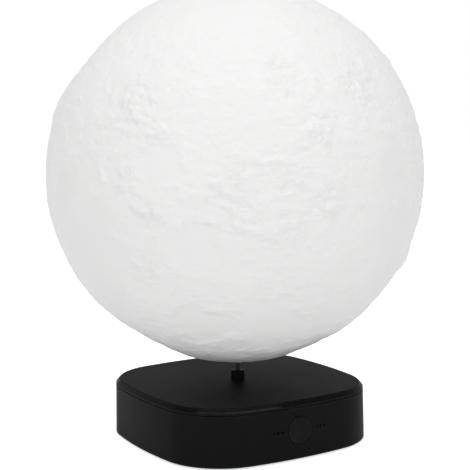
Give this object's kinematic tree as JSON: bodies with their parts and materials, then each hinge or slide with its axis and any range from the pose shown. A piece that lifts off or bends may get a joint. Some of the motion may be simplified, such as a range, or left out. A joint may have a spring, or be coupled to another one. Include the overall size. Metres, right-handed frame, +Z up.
{
  "type": "turning moon lamp",
  "caption": "Table lamp with a hollow white moon globe that turns on a thin pin above a low black rounded-square motor base with a push button.",
  "frame": {"origin": "centre of the footprint, on the surface that the rubber feet stand on", "axes": "+Z up along the spindle, -Y towards the side with the push button"},
  "size_m": [0.2, 0.2, 0.2414],
  "materials": {
    "base_black": "satin moulded black plastic",
    "base_black_gloss": "semi-gloss moulded black plastic",
    "post_black": "smooth black plastic",
    "rubber": "matte rubber",
    "screw_steel": "zinc-plated steel",
    "bronze": "sintered bronze",
    "motor_can": "nickel-plated steel",
    "bracket_steel": "pressed steel",
    "circuit_board": "solder-masked board",
    "component_black": "moulded black plastic",
    "socket_steel": "plated steel",
    "indicator": "light package",
    "clear_plastic": "clear moulded plastic",
    "lead_sleeve": "sleeved lead",
    "spindle_steel": "ground steel",
    "gear_white": "natural acetal",
    "washer_nylon": "natural nylon",
    "pinion_brass": "cut brass",
    "button_black": "satin black plastic",
    "moon_white": "printed white plastic, slightly translucent",
    "cap_white": "moulded white plastic",
    "socket_brass": "turned brass",
    "column_white": "moulded white plastic",
    "battery_sleeve": "shrink sleeve on a steel can",
    "diffuser_white": "opal plastic"
  },
  "bodies": {
    "base": {"base_housing": "base_black", "top_cover": "base_black_gloss", "base_plate": "base_black", "rubber_feet": "rubber", "base_screws": "screw_steel", "bearing_post": "post_black", "upper_bush": "bronze", "lower_bush": "bronze", "gear_motor": "motor_can", "motor_bracket": "bracket_steel", "bracket_screws": "screw_steel", "motor_screws": "screw_steel", "main_board": "circuit_board", "board_components": "component_black", "board_screws": "screw_steel", "power_inlet": "socket_steel", "front_board": "circuit_board", "button_switch": "component_black", "indicator_lights": "indicator", "light_pipes": "clear_plastic", "motor_lead": "lead_sleeve", "front_lead": "lead_sleeve"},
    "spindle": {"spindle_shaft": "spindle_steel", "spindle_wheel": "gear_white", "thrust_washer": "washer_nylon"},
    "pinion": {"motor_pinion": "pinion_brass", "motor_shaft": "spindle_steel"},
    "button": {"button_cap": "button_black", "switch_plunger": "component_black"},
    "globe": {"globe_shell": "moon_white", "globe_cap": "cap_white", "cap_screws": "screw_steel", "pin_socket": "socket_brass", "lamp_column": "column_white", "battery_cell": "battery_sleeve", "light_board": "circuit_board", "light_chips": "indicator", "light_diffuser": "diffuser_white", "charge_board": "circuit_board", "charge_socket": "socket_steel"}
  },
  "joints": [
    {"name": "spindle_spin", "type": "hinge", "parent": "base", "child": "spindle", "pos_m": [0, 0, 0.0303], "axis": [0, 0, 1], "continuous": true},
    {"name": "globe_lift", "type": "slide", "parent": "spindle", "child": "globe", "axis": [0, 0, 1], "range_m": [0, 0.03]},
    {"name": "motor_spin", "type": "hinge", "parent": "base", "child": "pinion", "pos_m": [0.0216, 0, 0.0218], "axis": [0, 0, 1], "continuous": true},
    {"name": "button_press", "type": "slide", "parent": "base", "child": "button", "axis": [0, 1, 0], "range_m": [0, 0.0008], "stiffness_N_per_m": 900, "springref_m": -0.0004}
  ],
  "couplings": [
    {"joint": "motor_spin", "follows": "spindle_spin", "ratio": -5}
  ]
}
